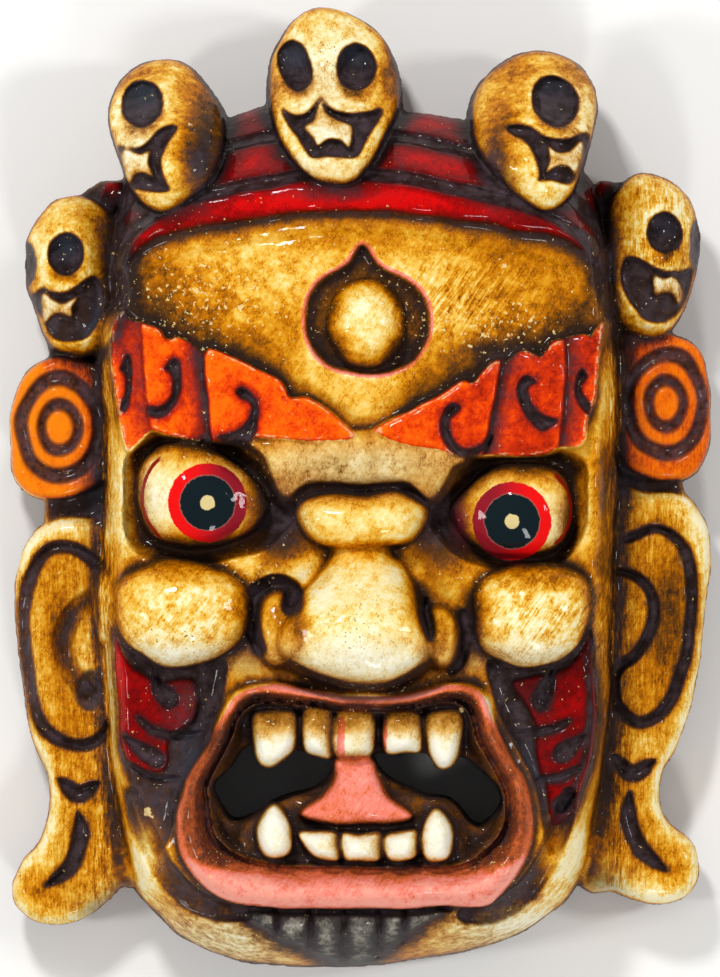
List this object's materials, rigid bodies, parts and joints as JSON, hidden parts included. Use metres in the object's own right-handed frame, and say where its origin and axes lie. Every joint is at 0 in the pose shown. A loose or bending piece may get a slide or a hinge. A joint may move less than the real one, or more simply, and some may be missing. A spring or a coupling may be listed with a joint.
{
  "type": "ceremonial mask",
  "caption": "Carved and painted wooden mask of a wrathful protector with a third eye and a crown of skulls, hollowed behind to be worn over the face.",
  "frame": {"origin": "middle of the mask's width and length, in the plane of the flat back rim that it lies on", "axes": "+Z out of the face, +Y towards the crown, +X to the right of someone facing the mask"},
  "size_m": [0.3113, 0.4252, 0.1298],
  "materials": {
    "painted_wood": "painted, rubbed with brown stain and varnished to a gloss"
  },
  "bodies": {
    "root": {"mask": "painted_wood"}
  },
  "joints": []
}
